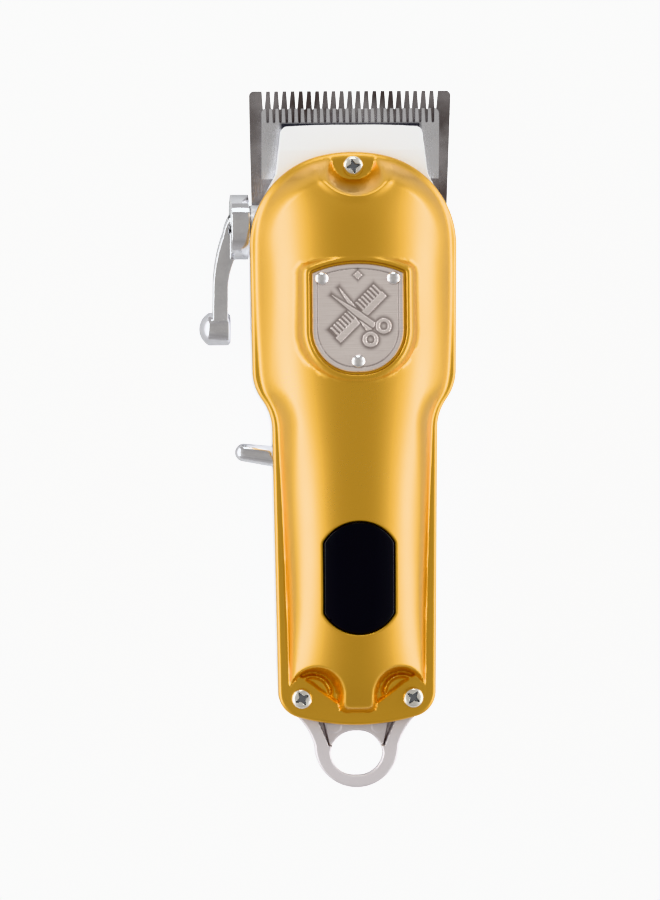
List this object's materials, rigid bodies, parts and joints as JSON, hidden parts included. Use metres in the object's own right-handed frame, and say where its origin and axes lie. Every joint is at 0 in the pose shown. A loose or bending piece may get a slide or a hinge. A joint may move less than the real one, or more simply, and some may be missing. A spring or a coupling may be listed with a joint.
{
  "type": "hair clipper",
  "caption": "Cordless hair clipper with a crowned metal cover, toothed blade set, side taper lever, toggle switch, display window and a hanging hook.",
  "frame": {"origin": "on the flat land of the underside that the clipper lies on, in the middle plane of the casing", "axes": "+Y along the casing towards the blades, +Z out of the cover, +X to the right when looking at the cover with the blades up; the lever and the switch are on the -X side"},
  "size_m": [0.0583, 0.1595, 0.0349],
  "materials": {
    "gold_cover": "satin gold lacquer on a cast shell",
    "silver_housing": "satin silver lacquer on cast metal",
    "badge_metal": "brushed gunmetal",
    "bright_rivet": "polished",
    "display_glass": "gloss black lens",
    "nickel_screw": "nickel plated",
    "dark_blade": "dark ground steel",
    "cutter_steel": "ground steel",
    "spring_steel": "plain steel",
    "chrome": "polished chrome",
    "motor_steel": "zinc plated can",
    "black_plastic": "moulded",
    "brass": "turned",
    "battery_wrap": "shrink sleeve",
    "board_green": "solder mask"
  },
  "bodies": {
    "casing": {"top_cover": "gold_cover", "lower_housing": "silver_housing", "hanging_hook": "silver_housing", "badge_plate": "badge_metal", "badge_rivets": "bright_rivet", "display_lens": "display_glass", "cover_screws": "nickel_screw", "blade_screws": "nickel_screw", "motor_screws": "nickel_screw", "board_screws": "nickel_screw", "fixed_blade": "dark_blade", "lever_washer": "spring_steel", "motor_can": "motor_steel", "motor_end_cap": "black_plastic", "motor_mount": "black_plastic", "battery_cell": "battery_wrap", "battery_tabs": "spring_steel", "battery_cradle": "black_plastic", "circuit_board": "board_green", "display_module": "black_plastic", "switch_body": "black_plastic", "charging_socket": "black_plastic"},
    "taper_lever": {"taper_lever": "chrome", "lever_screw": "nickel_screw", "lever_crank": "spring_steel"},
    "taper_carriage": {"taper_slide": "spring_steel", "tension_spring": "spring_steel"},
    "cutter": {"moving_blade": "cutter_steel", "cutter_carrier": "black_plastic"},
    "rotor": {"motor_shaft": "spring_steel", "drive_eccentric": "brass"},
    "power_toggle": {"power_switch": "chrome"}
  },
  "joints": [
    {"name": "taper_lever_hinge", "type": "hinge", "parent": "casing", "child": "taper_lever", "pos_m": [-0.0235, 0.0488, 0.0125], "axis": [-1, 0, 0], "range_deg": [0, 36]},
    {"name": "taper_slide", "type": "slide", "parent": "casing", "child": "taper_carriage", "axis": [0, 0.9848, 0.1736], "range_m": [0, 0.00217]},
    {"name": "cutter_stroke", "type": "slide", "parent": "taper_carriage", "child": "cutter", "axis": [1, 0, 0], "range_m": [-0.001, 0.001]},
    {"name": "motor_spin", "type": "hinge", "parent": "casing", "child": "rotor", "pos_m": [0, 0.04, 0.016], "axis": [0, 1, 0], "continuous": true},
    {"name": "power_toggle", "type": "hinge", "parent": "casing", "child": "power_toggle", "pos_m": [-0.0164, -0.0041, 0.013], "axis": [0, 0, 1], "range_deg": [0, 18]}
  ],
  "couplings": [
    {"joint": "taper_slide", "follows": "taper_lever_hinge", "m_per_rad": 0.0034427}
  ]
}
